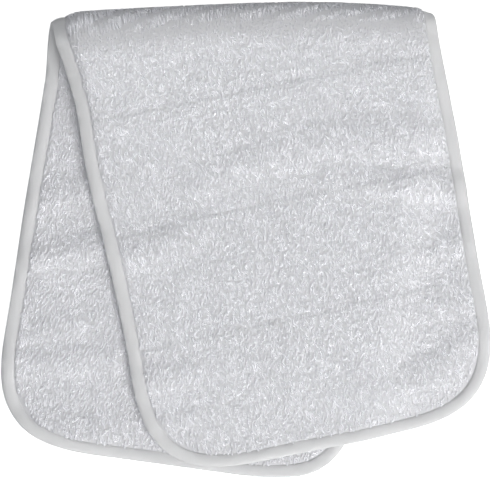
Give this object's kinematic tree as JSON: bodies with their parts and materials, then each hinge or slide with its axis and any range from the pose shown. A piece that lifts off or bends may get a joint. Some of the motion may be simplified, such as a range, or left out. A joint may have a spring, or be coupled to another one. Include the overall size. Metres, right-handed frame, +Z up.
{
  "type": "burp cloth",
  "caption": "White terry burp cloth with rounded corners and a bound edge, folded once across at a slight slant and laid flat.",
  "frame": {"origin": "middle of the folded cloth's bounding box in plan, at the surface it rests on", "axes": "+Z up from the resting surface, +Y towards the fold, +X to the side where the upper half spreads out"},
  "size_m": [0.2748, 0.268, 0.0157],
  "materials": {
    "white_terry": "looped pile",
    "white_binding": "smooth knit"
  },
  "bodies": {
    "root": {"terry_cloth": "white_terry", "edge_binding": "white_binding"}
  },
  "joints": []
}
